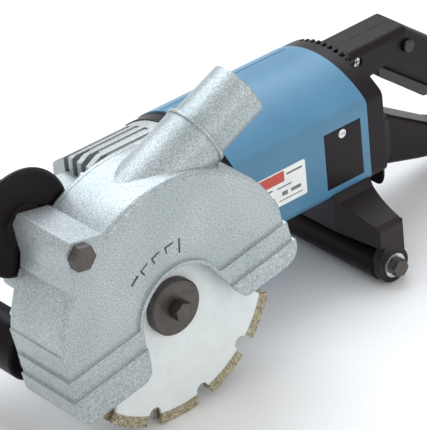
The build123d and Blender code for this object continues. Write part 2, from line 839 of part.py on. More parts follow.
def rotation_arrow():
    """Engraved marks that show the cutting direction, round the hub in the case's own frame."""
    marks = [Rot(0, 0, 121.0) * Pos(54.0, 0) * Rectangle(2.0, 8.0)]
    hook = Pos(51.5, 0) * Rectangle(5.0, 1.2) + Pos(54.0, -3.2) * Rectangle(1.4, 7.6)
    marks += [Rot(0, 0, angle) * hook for angle in (113.0, 101.0, 88.0)]
    marks.append(Rot(0, 0, 75.0) * Pos(50.0, 0) * Rectangle(11.0, 1.6))
    return marks


def case_shell():
    inner = case_inner_out + case_wall
    block = along_out(case_outline(), inner, case_outer_out)
    face = block.faces().sort_by(Axis.Y)[0]
    rim = [e for e in face.edges() if e.center().Z > 20]
    block = fillet(rim, 5.0)
    block += along_out(case_boss(), case_inner_out, case_outer_out)
    for level, top in enumerate(skirt_lines, start=1):
        proud = level * skirt_step
        block += along_out(case_outline(proud, top), inner, case_outer_out + proud)
    block = tilt(block)
    block += outlet_solid(stem_radius, 0.0, stem_length)
    lip = outlet_solid(stem_radius + 1.0, stem_length - 3.0, stem_length)
    block += lip
    cavity = tilt(along_out(case_cavity(), case_inner_out - 1, case_outer_out - case_wall))
    block -= cavity
    opening = tilt(along_out(notch_cut(), case_outer_out - case_wall - 1, case_outer_out + 20))
    block -= opening
    bead = (notch(notch_bead) & case_outline()) - notch_cut()
    block += tilt(along_out(bead, case_outer_out - case_wall, case_outer_out + notch_bead_height))
    for x, z in back_screw_places():
        block += tilt(rod_out(x, z, 4.4, inner, inner + 11.0))
    block -= outlet_solid(stem_bore, outlet_foot, stem_length + 1)
    socket = nozzle_radius - nozzle_step
    block -= outlet_solid(socket, stem_length - nozzle_socket, stem_length + 1)
    marks = [tilt(along_out(m, case_outer_out - 0.8, case_outer_out + 1)) for m in rotation_arrow()]
    block -= marks
    block -= rod_out(grip_x, grip_z, grip_bolt_radius, 0, 200.0)
    for x, z in back_screw_places():
        block -= tilt(rod_out(x, z, case_screw_radius + running_gap, inner - 1, inner + 9.0))
    return block


def back_screw_places():
    """Screws round the back plate, in the case's own frame."""
    radius = case_radius - 4.6
    return [(radius * cos(radians(a)), radius * sin(radians(a))) for a in case_screw_angles]


def case_back_plate():
    plate = tilt(along_out(case_outline(), case_inner_out, case_inner_out + case_wall))
    plate -= tilt(along_out(case_boss(), case_inner_out - 1, case_inner_out + case_wall + 1))
    ring_in = case_inner_out - clamp_length + case_wall
    plate += rod_out(0, 0, collar_radius + clamp_wall, ring_in, case_inner_out + case_wall)
    ear = box((-7.0, 7.0), (-(ring_in + 10.0), -ring_in), (collar_radius, collar_radius + 19.0))
    plate += ear
    plate += tilt(rod_out(front_roller_x, front_roller_z, 12.0, 59.0, case_inner_out + case_wall))
    plate -= rod_out(0, 0, collar_radius + running_gap, 0, 200.0)
    plate -= box((-0.8, 0.8), (-(case_inner_out - 0.01), -(ring_in - 1)), (collar_radius - 2, collar_radius + 20.0))
    plate -= rod_x(-(ring_in + 5.0), collar_radius + 13.0, 3.0, -20.0, 20.0)
    plate -= tilt(rod_out(front_roller_x, front_roller_z, roller_axle_radius, 0, 100.0))
    for x, z in back_screw_places():
        plate -= tilt(rod_out(x, z, case_screw_radius + running_gap, 0, 100.0))
    return plate


def case_screws():
    turned = Rot(0, 0, 180) * cap_screw(case_screw_radius, 3.6, 2.4, 9.0)
    return many([
        tilt(Pos(x, -case_inner_out, z) * turned) for x, z in back_screw_places()
    ])


def clamp_bolt():
    """Closes the collar's split: the case holds its depth setting by this."""
    ring_in = case_inner_out - clamp_length + case_wall
    bolt = Rot(0, 0, 90) * hex_bolt(10.0, 4.5, 3.0, 17.0)
    return Pos(7.0, -(ring_in + 5.0), collar_radius + 13.0) * bolt


def dust_nozzle():
    start, end = stem_length - nozzle_socket, stem_length + nozzle_length
    tube = outlet_solid(nozzle_radius - nozzle_step, start, end)
    tube += outlet_solid(nozzle_radius, stem_length + nozzle_step, end)
    return tube - outlet_solid(nozzle_bore, start - 1, end + 1)


def grip_bolt():
    length = case_outer_out - case_inner_out + 40.0
    bolt = hex_bolt(grip_bolt_flats, grip_bolt_head, grip_bolt_radius, length)
    return Pos(grip_x, -case_outer_out, grip_z) * Rot(0, 10, 0) * bolt


def side_grip():
    """Hand guard and grip in one turned moulding along the grip bolt."""
    guard_out = case_inner_out - 2.0
    end = guard_out - guard_thickness - grip_length
    points = [
        (grip_bolt_radius, case_inner_out), (15.0, case_inner_out), (15.0, guard_out),
        (guard_radius - 2.0, guard_out), (guard_radius, guard_out - 2.0),
        (guard_radius, guard_out - guard_thickness + 1.0),
        (guard_radius - 1.0, guard_out - guard_thickness), (grip_radius - 1.0, guard_out - guard_thickness),
        (grip_radius - 2.5, guard_out - guard_thickness - 10.0),
        (grip_radius, guard_out - guard_thickness - 40.0),
        (grip_radius, end + 30.0), (grip_radius + 2.5, end + 8.0), (grip_radius - 2.0, end), (0, end),
        (0, case_inner_out - 40.0), (grip_bolt_radius, case_inner_out - 40.0)]
    return Pos(grip_x, 0, grip_z) * turned_out(points)


def front_roller_axle():
    far = 58.0 - front_roller_length
    pin = turned_out([
        (0, far - 5.0), (9.0, far - 5.0), (9.0, far - 1.0), (roller_axle_radius, far - 1.0),
        (roller_axle_radius, case_inner_out + case_wall), (8.5, case_inner_out + case_wall),
        (8.5, case_inner_out + case_wall + 5.0), (0, case_inner_out + case_wall + 5.0)])
    return tilt(Pos(front_roller_x, 0, front_roller_z) * pin)


def roller(radius, bore, near, far):
    """A roller about the spindle direction, with rounded ends."""
    return turned_out([
        (bore, near), (radius - 1.5, near), (radius, near - 1.5), (radius, far + 1.5),
        (radius - 1.5, far), (bore, far)])


def front_roller():
    near = 58.0
    piece = roller(front_roller_radius, roller_axle_radius + running_gap, near, near - front_roller_length)
    return tilt(Pos(front_roller_x, 0, front_roller_z) * piece)


# ---- Rear roller and its bracket ------------------------------------------------------------------
def roller_bracket():
    near, far = rear_roller_near + free_gap, rear_roller_far - free_gap
    near_face, far_face = near + bracket_plate, far - bracket_plate
    roof_low = rear_roller_z + rear_roller_radius + 3.0
    low, high = motor_side_low, roof_low
    profile = polygon([
        (-near_face, high), (-near_face, high + 14.0), (-near_face + 4.0, high + 17.0),
        (-motor_half_width - 6.0, low - 4.0), (-motor_half_width, low), (motor_half_width, low),
        (-far_face - 2.0, low - 12.0), (-far_face, high + 12.0), (-far_face, high)])
    middle = (bracket_front + bracket_rear) / 2
    rear_low = rear_roller_x + 11.0
    front_low = rear_roller_x - 11.0
    edge = [
        Line((bracket_front, -motor_half_width), (bracket_front, motor_half_width)),
        Line((bracket_front, motor_half_width), (front_low, -far_face)),
        Line((front_low, -far_face), (rear_low, -far_face)),
        Line((rear_low, -far_face), (bracket_rear, motor_half_width)),
        Line((bracket_rear, motor_half_width), (bracket_rear, -motor_half_width)),
        ThreePointArc((bracket_rear, -motor_half_width),
                      (rear_low + 1.0, -(motor_half_width + near_face) / 2 - 6.0),
                      (rear_low, -near_face)),
        Line((rear_low, -near_face), (front_low, -near_face)),
        Line((front_low, -near_face), (bracket_front, -motor_half_width)),
    ]
    plan = extrude(Plane.XY.offset(-100.0) * make_face(edge), 200.0)
    bracket = along_x(profile, bracket_front, bracket_rear) & plan
    bracket -= along_x(motor_section(), bracket_front - 1, bracket_rear + 1)
    ear = polygon([
        (rear_low, roof_low + 16.5), (rear_low, rear_roller_z), (front_low - 2.0, rear_roller_z),
        (front_low - 2.0, rear_roller_z + 8.0), (front_low + 6.0, roof_low + 3.0)])
    ear += Pos(rear_roller_x, rear_roller_z) * Circle(rear_roller_radius - 1.0)
    for start, end in ((near, near_face), (far_face, far)):
        bracket += along_out(ear, start, end)
    bracket -= rod_out(rear_roller_x, rear_roller_z, roller_axle_radius, -200.0, 200.0)
    for x, y in bracket_screw_places():
        bracket -= extrude(Plane.XY.offset(-100.0) * Pos(x, y) * Circle(2.5), 100.0)
        bracket -= extrude(Plane.XY.offset(-100.0) * Pos(x, y) * Circle(4.5), 100.0 + roof_low + 5.0)
    return bracket


def bracket_screw_places():
    return [(x, y) for x in (bracket_front + 6.0, bracket_rear - 6.0) for y in (-26.0, 26.0)]


def bracket_screws():
    roof_low = rear_roller_z + rear_roller_radius + 3.0
    top = roof_low + 5.0
    screws = []
    for x, y in bracket_screw_places():
        screw = Rot(90, 0, 0) * cap_screw(2.5, 4.3, 3.8, 5.0)
        screws.append(Pos(x, y, top) * Rot(0, 0, 0) * Rot(180, 0, 0) * Rot(180, 0, 0) * screw)
    return many(screws)


def rear_roller_axle():
    near_face = rear_roller_near + free_gap + bracket_plate
    far_face = rear_roller_far - free_gap - bracket_plate
    return rod_out(rear_roller_x, rear_roller_z, roller_axle_radius, far_face, near_face) \
        - rod_out(rear_roller_x, rear_roller_z, 3.0, near_face - 16.0, near_face) \
        - rod_out(rear_roller_x, rear_roller_z, 3.0, far_face, far_face + 16.0)


def axle_washers():
    near_face = rear_roller_near + free_gap + bracket_plate
    far_face = rear_roller_far - free_gap - bracket_plate
    rings = [ring_out(3.0, 9.3, near_face, near_face + 1.4), ring_out(3.0, 9.3, far_face - 1.4, far_face)]
    return many([Pos(rear_roller_x, 0, rear_roller_z) * ring for ring in rings])


def axle_bolts():
    near_face = rear_roller_near + free_gap + bracket_plate + 1.4
    far_face = rear_roller_far - free_gap - bracket_plate - 1.4
    bolt = hex_bolt(12.0, 7.0, 3.0, 14.0)
    near = Pos(rear_roller_x, -near_face, rear_roller_z) * Rot(0, 12, 0) * bolt
    far = Pos(rear_roller_x, -far_face, rear_roller_z) * Rot(0, 0, 180) * bolt
    return many([near, far])


def rear_roller():
    piece = roller(rear_roller_radius, roller_axle_radius + running_gap, rear_roller_near, rear_roller_far)
    return Pos(rear_roller_x, 0, rear_roller_z) * piece


# ---- Controls and small pieces of the handle -----------------------------------------------------
def trigger():
    """A long paddle under the grip, hung on a pin at its front."""
    points = ((-3, 23.2), (56, 25), (62, 30), (64, 39), (57, 42.5), (20, 42), (5, 42), (-3, 35))
    blade = polygon([grip_point(*p) for p in points])
    blade = fillet(blade.vertices(), 2.0) + Pos(*trigger_pivot()) * Circle(trigger_knuckle)
    piece = along_out(blade, -trigger_width / 2, trigger_width / 2)
    return piece - rod_out(*trigger_pivot(), trigger_pin_radius + running_gap, -20.0, 20.0)


def trigger_pin():
    reach = handle_half_width - handle_wall
    return rod_out(*trigger_pivot(), trigger_pin_radius, -reach, reach)


def switch_unit():
    body = polygon([grip_point(*p) for p in ((20, 5), (60, 5), (60, 15.5), (20, 15.5))])
    return along_out(body, -12.0, 12.0)


def cord_inlet():
    """The bush in the handle's heel through which the mains lead would enter."""
    bush = rod_x(0, cord_inlet_z, cord_inlet_radius, cord_inlet_front, cord_inlet_rear)
    bush = chamfer(bush.faces().sort_by(Axis.X)[-1].edges(), 1.2)
    return bush - rod_x(0, cord_inlet_z, cord_bore, cord_inlet_front, cord_inlet_rear)


def lock_button():
    """Holds the trigger down: a button through the near side of the grip, with an inner collar."""
    x, z = lock_button_place()
    inside = handle_half_width - handle_wall
    piece = rod_out(x, z, button_radius, 9.0, handle_half_width + 3.6)
    piece = fillet(piece.faces().sort_by(Axis.Y)[0].edges(), 1.2)
    return piece + rod_out(x, z, button_collar, inside - 2.0, inside - 0.3)


def lock_button_place():
    return grip_point(8.0, 12.6)


nodes = {
    "spindle": spindle(),
    "bevel_wheel": bevel_wheel(),
    "inner_flange": inner_flange_piece(),
    "inner_blade_core": blade_core_piece(inner_blade_in),
    "inner_blade_segments": blade_segments(inner_blade_in),
    "spacer_ring": spacer_ring(),
    "outer_blade_core": blade_core_piece(outer_blade_in),
    "outer_blade_segments": blade_segments(outer_blade_in),
    "outer_flange": outer_flange_piece(),
    "flange_bolt": flange_bolt(),
    "armature_shaft": armature_shaft(),
    "pinion": pinion(),
    "armature_core": armature_core(),
    "coil_ends": coil_ends(),
    "commutator": commutator(),
    "cooling_fan": cooling_fan(),
    "gear_housing": gear_housing(),
    "bearing_box": bearing_box(),
    "bearing_box_screws": bearing_box_screws(),
    "spindle_bearing": spindle_bearing(),
    "spindle_bush": spindle_bush(),
    "armature_bearings": armature_bearings(),
    "fan_baffle": fan_baffle(),
    "motor_housing": motor_housing(),
    "stator_core": stator_core(),
    "field_windings": field_windings(),
    "brush_holders": brush_holders(),
    "carbon_brushes": carbon_brushes(),
    "brush_cover_near": brush_cover(-1),
    "brush_cover_far": brush_cover(1),
    "brush_cover_screws": brush_cover_screws(),
    "rating_plate": rating_plate(),
    "rear_cap": rear_cap(),
    "handle_near": handle_half(-1),
    "handle_far": handle_half(1),
    "handle_screws": handle_screws(),
    "trigger": trigger(),
    "trigger_pin": trigger_pin(),
    "switch_unit": switch_unit(),
    "cord_inlet": cord_inlet(),
    "lock_button": lock_button(),
    "roller_bracket": roller_bracket(),
    "bracket_screws": bracket_screws(),
    "rear_roller_axle": rear_roller_axle(),
    "axle_washers": axle_washers(),
    "axle_bolts": axle_bolts(),
    "rear_roller": rear_roller(),
    "case_shell": case_shell(),
    "case_back_plate": case_back_plate(),
    "case_screws": case_screws(),
    "clamp_bolt": clamp_bolt(),
    "dust_nozzle": dust_nozzle(),
    "grip_bolt": grip_bolt(),
    "side_grip": side_grip(),
    "front_roller_axle": front_roller_axle(),
    "front_roller": front_roller(),
}

whole = Compound(children=[s for shape in nodes.values() for s in shape.solids()]).bounding_box()
to_row = Pos(-(whole.min.X + whole.max.X) / 2, -(whole.min.Y + whole.max.Y) / 2, -whole.min.Z)

os.makedirs("parts", exist_ok=True)
for name, shape in nodes.items():
    export_step(to_row * shape, f"parts/{name}.step")
print("row origin in working axes", to_row.position)
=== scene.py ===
import json
import math

import bpy
import numpy as np
from mathutils import Matrix, Vector


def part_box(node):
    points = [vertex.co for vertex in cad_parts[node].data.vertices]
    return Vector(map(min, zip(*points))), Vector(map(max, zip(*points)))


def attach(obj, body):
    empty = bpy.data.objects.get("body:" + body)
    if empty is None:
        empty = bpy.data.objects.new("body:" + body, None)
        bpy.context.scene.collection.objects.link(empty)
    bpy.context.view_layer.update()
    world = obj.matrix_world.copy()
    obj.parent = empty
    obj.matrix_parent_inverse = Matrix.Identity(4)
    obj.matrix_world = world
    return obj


# Wall chaser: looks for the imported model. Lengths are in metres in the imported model's own
# frame: X runs along the motor to the rear handle, -Y towards the discs, Z up.

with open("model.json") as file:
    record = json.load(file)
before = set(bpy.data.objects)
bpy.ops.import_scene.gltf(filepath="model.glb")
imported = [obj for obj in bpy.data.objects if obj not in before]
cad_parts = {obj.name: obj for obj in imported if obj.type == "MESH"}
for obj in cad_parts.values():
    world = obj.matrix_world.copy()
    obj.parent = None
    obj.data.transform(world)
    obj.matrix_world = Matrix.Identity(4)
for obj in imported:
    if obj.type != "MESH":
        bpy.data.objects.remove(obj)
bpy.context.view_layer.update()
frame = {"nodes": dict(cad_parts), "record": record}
MM = 0.001


# ---- Helpers -------------------------------------------------------------------------
def linear(code):
    """An sRGB hex colour as linear RGBA."""
    parts = [int(code[k:k + 2], 16) / 255 for k in (1, 3, 5)]
    return tuple(c / 12.92 if c <= 0.04045 else ((c + 0.055) / 1.055) ** 2.4 for c in parts) + (1.0,)


def add(tree, kind, links=None, stops=(), **settings):
    """Adds one shader node. links gives its inputs, each a socket to join or a plain value, and
    stops gives a colour ramp's first and last places with their colours."""
    made = tree.nodes.new(kind)
    for key, value in settings.items():
        setattr(made, key, value)
    for key, value in (links or {}).items():
        if isinstance(value, bpy.types.NodeSocket):
            tree.links.new(value, made.inputs[key])
        else:
            made.inputs[key].default_value = value
    for index, (position, colour) in enumerate(stops):
        element = made.color_ramp.elements[index]
        element.position, element.color = position, linear(colour)
    return made


def new_material(name, **shader):
    """A material with one Principled shader, whose constants are set on its own sockets, and the
    Object coordinates that its patterns read."""
    material = bpy.data.materials.new(name)
    material.use_nodes = True
    tree = material.node_tree
    surface = tree.nodes["Principled BSDF"]
    for key, value in shader.items():
        surface.inputs[key.replace("_", " ")].default_value = value
    place = tree.nodes.new("ShaderNodeTexCoord").outputs["Object"]
    return material, tree, surface, place


def grain_scale(size_mm):
    """Noise scale whose features are about size_mm across, in Object coordinates."""
    return 1.0 / (size_mm * MM)


def relief(tree, surface, height, depth_mm, strength=1.0, edge_mm=None):
    """Bump of a real depth on a surface. edge_mm rounds the edges' shading by that radius."""
    links = {"Height": height, "Distance": depth_mm * MM, "Strength": strength}
    if edge_mm:
        rounded = add(tree, "ShaderNodeBevel", {"Radius": edge_mm * MM}, samples=6)
        links["Normal"] = rounded.outputs["Normal"]
    bump = add(tree, "ShaderNodeBump", links)
    tree.links.new(bump.outputs["Normal"], surface.inputs["Normal"])


# ---- Materials -----------------------------------------------------------------------
def hammertone_paint():
    """Silver hammertone enamel, sprayed on cast magnesium: a pebbled skin about 1 mm across."""
    material, tree, surface, place = new_material(
        "hammertone_enamel_silver", Metallic=0.45, Coat_Weight=0.15, Coat_Roughness=0.25)
    fine = add(tree, "ShaderNodeTexNoise",
               {"Vector": place, "Scale": grain_scale(1.1), "Detail": 3.0})
    broad = add(tree, "ShaderNodeTexNoise",
                {"Vector": place, "Scale": grain_scale(45.0), "Detail": 2.0})
    pebbles = add(tree, "ShaderNodeTexVoronoi",
                  {"Vector": place,
                   "Scale": grain_scale(1.2), "Randomness": 1.0}, feature="SMOOTH_F1")
    speck = add(tree, "ShaderNodeValToRGB", {"Fac": fine.outputs["Fac"]},
                stops=((0.34, "#949D9E"), (0.68, "#CDD2D4"))).outputs["Color"]
    tint = add(tree, "ShaderNodeValToRGB", {"Fac": broad.outputs["Fac"]},
               stops=((0.3, "#E9EFEE"), (0.7, "#FFFFFF"))).outputs["Color"]
    blend = tree.nodes.new("ShaderNodeMix")
    blend.data_type, blend.blend_type = "RGBA", "MULTIPLY"
    blend.inputs[0].default_value = 1.0
    tree.links.new(speck, blend.inputs[6])
    tree.links.new(tint, blend.inputs[7])
    tree.links.new(blend.outputs[2], surface.inputs["Base Color"])
    gloss = add(tree, "ShaderNodeMapRange",
                {"Value": fine.outputs["Fac"], "To Min": 0.30, "To Max": 0.52}).outputs["Result"]
    tree.links.new(gloss, surface.inputs["Roughness"])
    height = add(tree, "ShaderNodeMath", {0: pebbles.outputs["Distance"], 1: fine.outputs["Fac"]},
                 operation="ADD")
    relief(tree, surface, height.outputs[0], 0.12, 0.5, edge_mm=1.6)
    return material


def cast_aluminium():
    """Bare die-cast aluminium, shot-blasted: pale grey with a fine matt grain."""
    material, tree, surface, place = new_material("aluminium_cast_blasted", Metallic=0.75)
    fine = add(tree, "ShaderNodeTexNoise",
               {"Vector": place, "Scale": grain_scale(1.2), "Detail": 3.0})
    tone = add(tree, "ShaderNodeValToRGB", {"Fac": fine.outputs["Fac"]},
               stops=((0.34, "#9BA1A0"), (0.66, "#C4C9C8"))).outputs["Color"]
    tree.links.new(tone, surface.inputs["Base Color"])
    gloss = add(tree, "ShaderNodeMapRange",
                {"Value": fine.outputs["Fac"], "To Min": 0.42, "To Max": 0.62}).outputs["Result"]
    tree.links.new(gloss, surface.inputs["Roughness"])
    relief(tree, surface, fine.outputs["Fac"], 0.12, 0.5, edge_mm=1.0)
    return material


def blue_nylon():
    """Glass-filled nylon, moulded and semi-gloss, with a faint flow mottling."""
    material, tree, surface, place = new_material("nylon_moulded_blue", IOR=1.53)
    broad = add(tree, "ShaderNodeTexNoise",
                {"Vector": place, "Scale": grain_scale(30.0), "Detail": 3.0})
    fine = add(tree, "ShaderNodeTexNoise",
               {"Vector": place, "Scale": grain_scale(0.9), "Detail": 2.0})
    tone = add(tree, "ShaderNodeValToRGB", {"Fac": broad.outputs["Fac"]},
               stops=((0.3, "#4A7D9C"), (0.7, "#4F84A4"))).outputs["Color"]
    tree.links.new(tone, surface.inputs["Base Color"])
    gloss = add(tree, "ShaderNodeMapRange",
                {"Value": broad.outputs["Fac"], "To Min": 0.36, "To Max": 0.44}).outputs["Result"]
    tree.links.new(gloss, surface.inputs["Roughness"])
    relief(tree, surface, fine.outputs["Fac"], 0.02, 0.5, edge_mm=1.0)
    return material


def black_nylon():
    """Glass-filled nylon with a spark-eroded skin: warm black, matt, greying to the light."""
    material, tree, surface, place = new_material("nylon_moulded_black", IOR=1.53, Specular_IOR_Level=0.22)
    skin = add(tree, "ShaderNodeTexNoise",
               {"Vector": place, "Scale": grain_scale(0.8), "Detail": 3.0})
    broad = add(tree, "ShaderNodeTexNoise",
                {"Vector": place, "Scale": grain_scale(25.0), "Detail": 2.0})
    tone = add(tree, "ShaderNodeValToRGB", {"Fac": broad.outputs["Fac"]},
               stops=((0.3, "#10070B"), (0.7, "#180D11"))).outputs["Color"]
    tree.links.new(tone, surface.inputs["Base Color"])
    gloss = add(tree, "ShaderNodeMapRange",
                {"Value": skin.outputs["Fac"], "To Min": 0.34, "To Max": 0.5}).outputs["Result"]
    tree.links.new(gloss, surface.inputs["Roughness"])
    relief(tree, surface, skin.outputs["Fac"], 0.05, 0.6, edge_mm=1.2)
    return material


def trigger_nylon():
    """Smooth black nylon where the finger polishes it."""
    material, tree, surface, place = new_material("nylon_smooth_black", IOR=1.53)
    wear = add(tree, "ShaderNodeTexNoise",
               {"Vector": place, "Scale": grain_scale(14.0), "Detail": 3.0})
    tone = add(tree, "ShaderNodeValToRGB", {"Fac": wear.outputs["Fac"]},
               stops=((0.35, "#141011"), (0.65, "#1F1A1A"))).outputs["Color"]
    tree.links.new(tone, surface.inputs["Base Color"])
    gloss = add(tree, "ShaderNodeMapRange",
                {"Value": wear.outputs["Fac"], "To Min": 0.18, "To Max": 0.34}).outputs["Result"]
    tree.links.new(gloss, surface.inputs["Roughness"])
    skin = add(tree, "ShaderNodeTexNoise",
               {"Vector": place, "Scale": grain_scale(0.7), "Detail": 2.0})
    relief(tree, surface, skin.outputs["Fac"], 0.015, 0.5, edge_mm=0.8)
    return material


def black_paint():
    """Black stoving enamel on cast alloy, slightly pebbled like the sand mould under it."""
    material, tree, surface, place = new_material("stoving_enamel_black", Specular_IOR_Level=0.35)
    fine = add(tree, "ShaderNodeTexNoise",
               {"Vector": place, "Scale": grain_scale(1.6), "Detail": 3.0})
    tone = add(tree, "ShaderNodeValToRGB", {"Fac": fine.outputs["Fac"]},
               stops=((0.35, "#170C11"), (0.65, "#21151A"))).outputs["Color"]
    tree.links.new(tone, surface.inputs["Base Color"])
    gloss = add(tree, "ShaderNodeMapRange",
                {"Value": fine.outputs["Fac"], "To Min": 0.34, "To Max": 0.5}).outputs["Result"]
    tree.links.new(gloss, surface.inputs["Roughness"])
    relief(tree, surface, fine.outputs["Fac"], 0.08, 0.5, edge_mm=1.2)
    return material


def roller_rubber():
    """Ground nitrile rubber: deep black with a soft sheen and fine rings from grinding."""
    material, tree, surface, place = new_material(
        "nitrile_rubber_ground", IOR=1.52, Specular_IOR_Level=0.12)
    along = add(tree, "ShaderNodeMapping", {"Vector": place, "Scale": (40.0, 1100.0, 40.0)})
    rings = add(tree, "ShaderNodeTexNoise",
                {"Vector": along.outputs["Vector"], "Scale": 1.0, "Detail": 2.0})
    tone = add(tree, "ShaderNodeValToRGB", {"Fac": rings.outputs["Fac"]},
               stops=((0.35, "#0A0305"), (0.65, "#12080B"))).outputs["Color"]
    tree.links.new(tone, surface.inputs["Base Color"])
    gloss = add(tree, "ShaderNodeMapRange",
                {"Value": rings.outputs["Fac"], "To Min": 0.30, "To Max": 0.46}).outputs["Result"]
    tree.links.new(gloss, surface.inputs["Roughness"])
    relief(tree, surface, rings.outputs["Fac"], 0.03, 0.4, edge_mm=1.0)
    return material


def black_oxide_steel():
    """Steel under black oxide: dark brown-grey, rubbed lighter on its edges and faces."""
    material, tree, surface, place = new_material("steel_black_oxide", Metallic=0.8)
    rub = add(tree, "ShaderNodeTexNoise",
              {"Vector": place, "Scale": grain_scale(5.0), "Detail": 4.0})
    tone = add(tree, "ShaderNodeValToRGB", {"Fac": rub.outputs["Fac"]},
               stops=((0.35, "#575350"), (0.65, "#625D5A"))).outputs["Color"]
    tree.links.new(tone, surface.inputs["Base Color"])
    gloss = add(tree, "ShaderNodeMapRange",
                {"Value": rub.outputs["Fac"], "To Min": 0.38, "To Max": 0.55}).outputs["Result"]
    tree.links.new(gloss, surface.inputs["Roughness"])
    skin = add(tree, "ShaderNodeTexNoise",
               {"Vector": place, "Scale": grain_scale(0.6), "Detail": 3.0})
    relief(tree, surface, skin.outputs["Fac"], 0.03, 0.5, edge_mm=0.7)
    return material


def zinc_steel():
    """Zinc-plated or ground steel: bright, faintly cloudy."""
    material, tree, surface, place = new_material("steel_zinc_plated", Metallic=1.0)
    cloud = add(tree, "ShaderNodeTexNoise",
                {"Vector": place, "Scale": grain_scale(4.0), "Detail": 3.0})
    tone = add(tree, "ShaderNodeValToRGB", {"Fac": cloud.outputs["Fac"]},
               stops=((0.35, "#C2C4C2"), (0.65, "#E3E4E0"))).outputs["Color"]
    tree.links.new(tone, surface.inputs["Base Color"])
    gloss = add(tree, "ShaderNodeMapRange",
                {"Value": cloud.outputs["Fac"], "To Min": 0.2, "To Max": 0.36}).outputs["Result"]
    tree.links.new(gloss, surface.inputs["Roughness"])
    skin = add(tree, "ShaderNodeTexNoise",
               {"Vector": place, "Scale": grain_scale(0.5), "Detail": 2.0})
    relief(tree, surface, skin.outputs["Fac"], 0.01, 0.4, edge_mm=0.4)
    return material


def gear_steel():
    """Hardened gear steel, oiled: dark and sleek."""
    material, tree, surface, place = new_material("steel_hardened_oiled", Metallic=1.0)
    film = add(tree, "ShaderNodeTexNoise",
               {"Vector": place, "Scale": grain_scale(3.0), "Detail": 3.0})
    tone = add(tree, "ShaderNodeValToRGB", {"Fac": film.outputs["Fac"]},
               stops=((0.35, "#6E6C69"), (0.65, "#8D8A86"))).outputs["Color"]
    tree.links.new(tone, surface.inputs["Base Color"])
    gloss = add(tree, "ShaderNodeMapRange",
                {"Value": film.outputs["Fac"], "To Min": 0.22, "To Max": 0.38}).outputs["Result"]
    tree.links.new(gloss, surface.inputs["Roughness"])
    return material


def blade_coating():
    """Satin white coating on a rolled steel disc, with fine turned rings about the spindle."""
    material, tree, surface, place = new_material("disc_coating_satin_white", IOR=1.5, Coat_Weight=0.1,
                                           Coat_Roughness=0.3)
    low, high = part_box("outer_blade_core")
    hub = ((low.x + high.x) / 2, 0.0, (low.z + high.z) / 2)
    centred = add(tree, "ShaderNodeMapping", {"Vector": place, "Location": tuple(-v for v in hub)})
    flat = add(tree, "ShaderNodeVectorMath", {0: centred.outputs["Vector"], 1: (1.0, 0.0, 1.0)},
               operation="MULTIPLY")
    radius = add(tree, "ShaderNodeVectorMath", {0: flat.outputs["Vector"]}, operation="LENGTH")
    rings = add(tree, "ShaderNodeTexNoise", {"W": radius.outputs["Value"], "Scale": grain_scale(1.1),
                                             "Detail": 2.0}, noise_dimensions="1D")
    mottle = add(tree, "ShaderNodeTexNoise",
                 {"Vector": place, "Scale": grain_scale(9.0), "Detail": 4.0})
    tone = add(tree, "ShaderNodeValToRGB", {"Fac": mottle.outputs["Fac"]},
               stops=((0.35, "#DCE2E1"), (0.65, "#E2E8E7"))).outputs["Color"]
    tree.links.new(tone, surface.inputs["Base Color"])
    gloss = add(tree, "ShaderNodeMapRange",
                {"Value": rings.outputs["Fac"], "To Min": 0.34, "To Max": 0.5}).outputs["Result"]
    tree.links.new(gloss, surface.inputs["Roughness"])
    relief(tree, surface, rings.outputs["Fac"], 0.02, 0.35, edge_mm=0.4)
    return material


def diamond_matrix():
    """Sintered bronze-iron matrix with diamond grit: sandy grey with light and dark grains."""
    material, tree, surface, place = new_material("sintered_diamond_matrix", Metallic=0.3)
    grit = add(tree, "ShaderNodeTexVoronoi",
               {"Vector": place, "Scale": grain_scale(1.1)})
    tone = add(tree, "ShaderNodeValToRGB", {"Fac": grit.outputs["Color"]},
               stops=((0.25, "#7E765F"), (0.8, "#C2B89C"))).outputs["Color"]
    tree.links.new(tone, surface.inputs["Base Color"])
    surface.inputs["Roughness"].default_value = 0.6
    relief(tree, surface, grit.outputs["Distance"], 0.25, 0.8, edge_mm=0.5)
    return material


def steel_sheets():
    """Stacked electrical sheet: grey edges in fine layers."""
    material, tree, surface, place = new_material("electrical_steel_stack", Metallic=0.9)
    along = add(tree, "ShaderNodeMapping", {"Vector": place, "Scale": (1600.0, 60.0, 60.0)})
    layers = add(tree, "ShaderNodeTexNoise",
                 {"Vector": along.outputs["Vector"], "Scale": 1.0, "Detail": 1.0})
    tone = add(tree, "ShaderNodeValToRGB", {"Fac": layers.outputs["Fac"]},
               stops=((0.35, "#4F4E4D"), (0.65, "#76736F"))).outputs["Color"]
    tree.links.new(tone, surface.inputs["Base Color"])
    gloss = add(tree, "ShaderNodeMapRange",
                {"Value": layers.outputs["Fac"], "To Min": 0.38, "To Max": 0.55}).outputs["Result"]
    tree.links.new(gloss, surface.inputs["Roughness"])
    relief(tree, surface, layers.outputs["Fac"], 0.05, 0.6)
    return material


def enamelled_copper():
    """Copper winding wire under clear brown enamel."""
    material, tree, surface, place = new_material("copper_enamelled", Metallic=1.0)
    wire = add(tree, "ShaderNodeTexNoise",
               {"Vector": place, "Scale": grain_scale(1.0), "Detail": 2.0})
    tone = add(tree, "ShaderNodeValToRGB", {"Fac": wire.outputs["Fac"]},
               stops=((0.35, "#A35A36"), (0.65, "#D08A5A"))).outputs["Color"]
    tree.links.new(tone, surface.inputs["Base Color"])
    gloss = add(tree, "ShaderNodeMapRange",
                {"Value": wire.outputs["Fac"], "To Min": 0.24, "To Max": 0.42}).outputs["Result"]
    tree.links.new(gloss, surface.inputs["Roughness"])
    relief(tree, surface, wire.outputs["Fac"], 0.2, 0.6)
    return material


